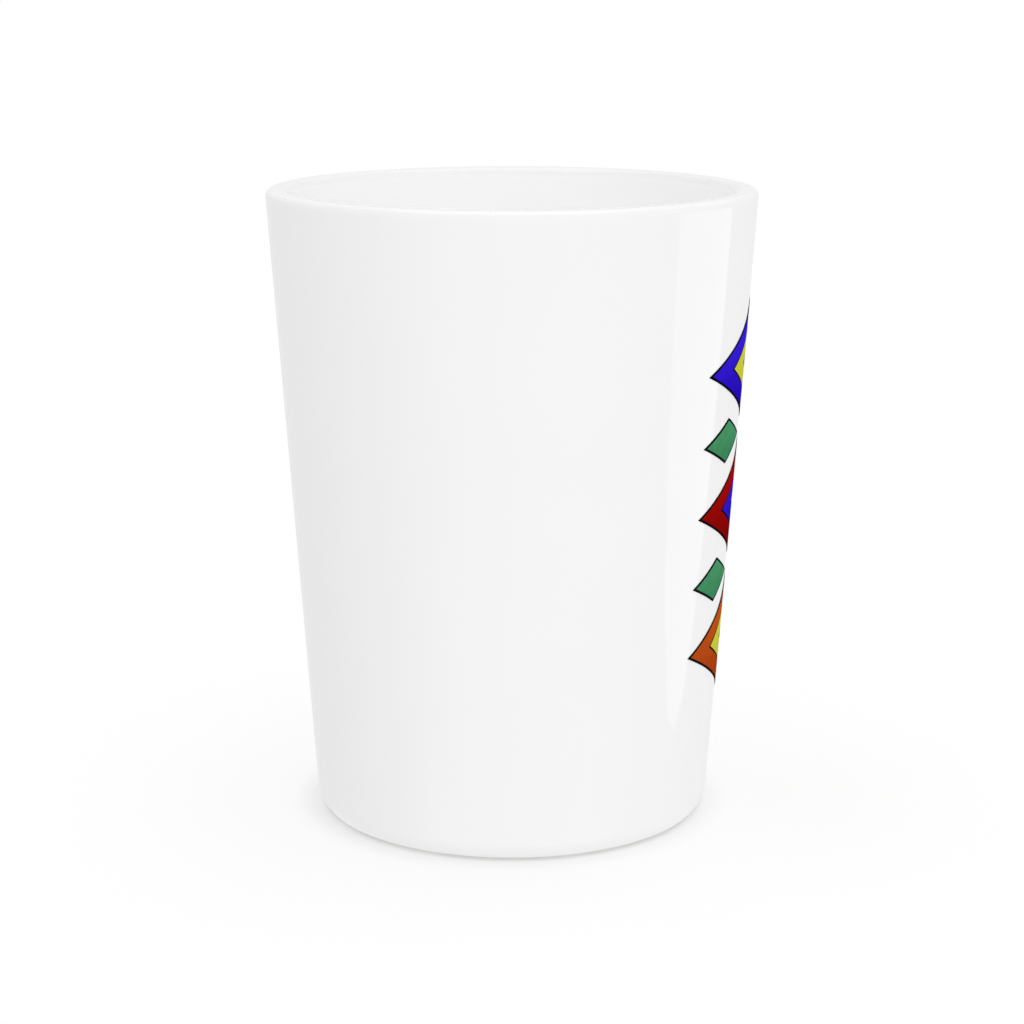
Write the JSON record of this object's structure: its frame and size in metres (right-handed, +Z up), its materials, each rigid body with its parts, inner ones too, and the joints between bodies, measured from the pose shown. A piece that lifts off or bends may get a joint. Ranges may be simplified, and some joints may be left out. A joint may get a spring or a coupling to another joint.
{
  "type": "shot glass",
  "caption": "Straight-sided flaring ceramic shot glass with a thin rounded lip, a bare foot ring over a glazed recess, and a printed column of lozenges on one side.",
  "frame": {"origin": "centre of the foot, on the table plane that the bare foot ring stands on", "axes": "+Z up along the cup's axis of revolution, +X towards the middle of the printed design, -Y towards the viewer of the picture"},
  "size_m": [0.046, 0.046, 0.06],
  "materials": {
    "bare_clay": "unglazed fired clay, matte and fine-grained",
    "white_glaze": "smooth white gloss glaze",
    "blue_ink": "flat printed colour, matt",
    "red_ink": "flat printed colour, matt",
    "yellow_ink": "flat printed colour, matt",
    "orange_ink": "flat printed colour, matt",
    "green_ink": "flat printed colour, matt",
    "dark_ink": "near-black printed line, matt"
  },
  "bodies": {
    "root": {"ceramic_body": "bare_clay", "outer_glaze": "white_glaze", "inner_glaze": "white_glaze", "recess_glaze": "white_glaze", "print_blue": "blue_ink", "print_red": "red_ink", "print_yellow": "yellow_ink", "print_orange": "orange_ink", "print_green": "green_ink", "print_lines": "dark_ink"}
  },
  "joints": []
}
